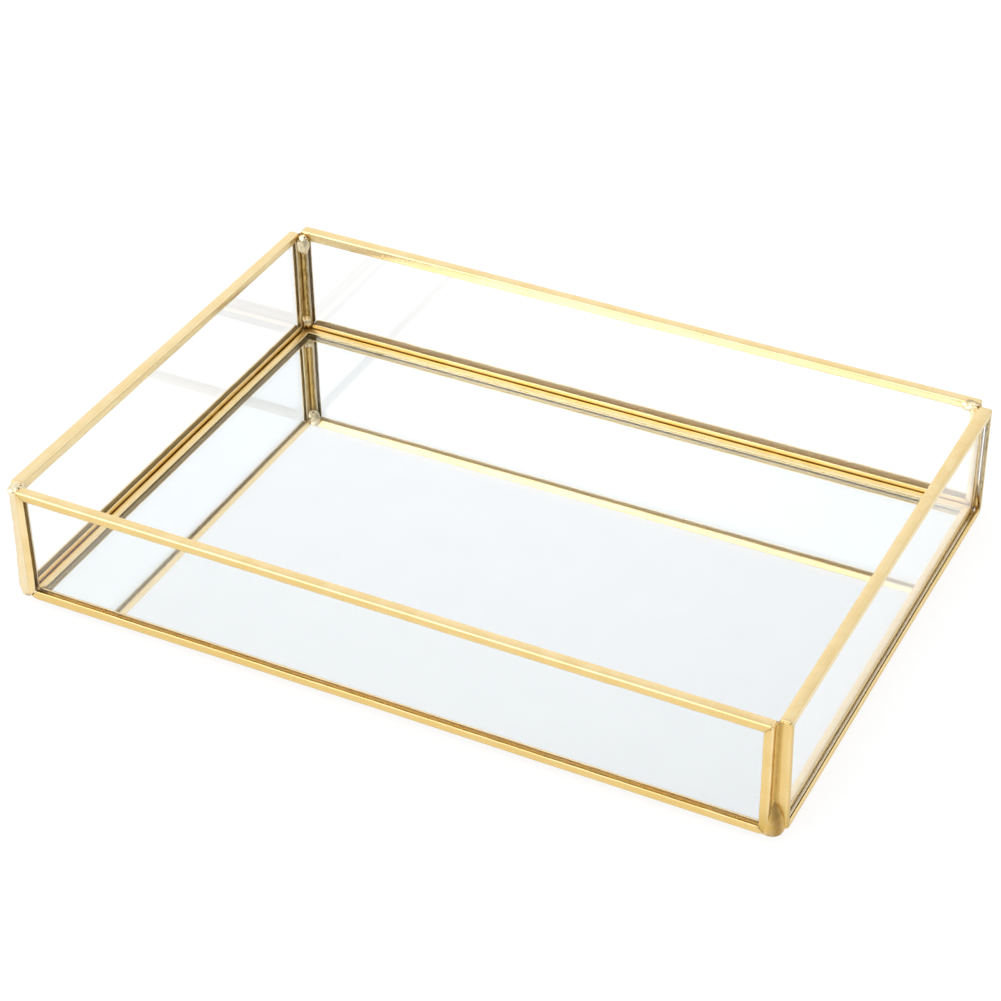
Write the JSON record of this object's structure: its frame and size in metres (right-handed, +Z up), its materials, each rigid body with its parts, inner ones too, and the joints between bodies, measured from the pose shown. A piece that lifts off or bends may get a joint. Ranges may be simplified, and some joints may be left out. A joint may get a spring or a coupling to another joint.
{
  "type": "vanity tray",
  "caption": "Rectangular vanity tray with clear glass sides and a mirror base, every pane edged in folded brass channel and soldered at the corners.",
  "frame": {"origin": "on the surface the tray stands on, under the middle of the tray", "axes": "+X along the tray's length to the right, +Y from the front to the back, +Z up"},
  "size_m": [0.25, 0.172, 0.042],
  "materials": {
    "brass_channel": "hand-worked satin brass, polished along the folds",
    "solder": "gilded solder, lumpy and pitted",
    "clear_glass": "clear float glass, polished",
    "mirror_glass": "clear float glass, polished",
    "silvering": "silvered reflecting coat",
    "backing_paint": "matt grey mirror backing paint"
  },
  "bodies": {
    "root": {"front_rail_low": "brass_channel", "front_rail_high": "brass_channel", "front_stile_left": "brass_channel", "front_stile_right": "brass_channel", "front_pane": "clear_glass", "right_rail_low": "brass_channel", "right_rail_high": "brass_channel", "right_stile_left": "brass_channel", "right_stile_right": "brass_channel", "right_pane": "clear_glass", "back_rail_low": "brass_channel", "back_rail_high": "brass_channel", "back_stile_left": "brass_channel", "back_stile_right": "brass_channel", "back_pane": "clear_glass", "left_rail_low": "brass_channel", "left_rail_high": "brass_channel", "left_stile_left": "brass_channel", "left_stile_right": "brass_channel", "left_pane": "clear_glass", "base_rail_low": "brass_channel", "base_rail_high": "brass_channel", "base_stile_left": "brass_channel", "base_stile_right": "brass_channel", "base_mirror_glass": "mirror_glass", "base_silvering": "silvering", "base_backing_paint": "backing_paint", "base_seam_front": "solder", "base_seam_right": "solder", "base_seam_back": "solder", "base_seam_left": "solder", "corner_seam_front_left": "solder", "corner_fill_front_left": "solder", "corner_top_bead_front_left": "solder", "corner_seam_front_right": "solder", "corner_fill_front_right": "solder", "corner_seam_back_right": "solder", "corner_fill_back_right": "solder", "corner_top_bead_back_right": "solder", "corner_seam_back_left": "solder", "corner_fill_back_left": "solder", "corner_top_bead_back_left": "solder"}
  },
  "joints": []
}
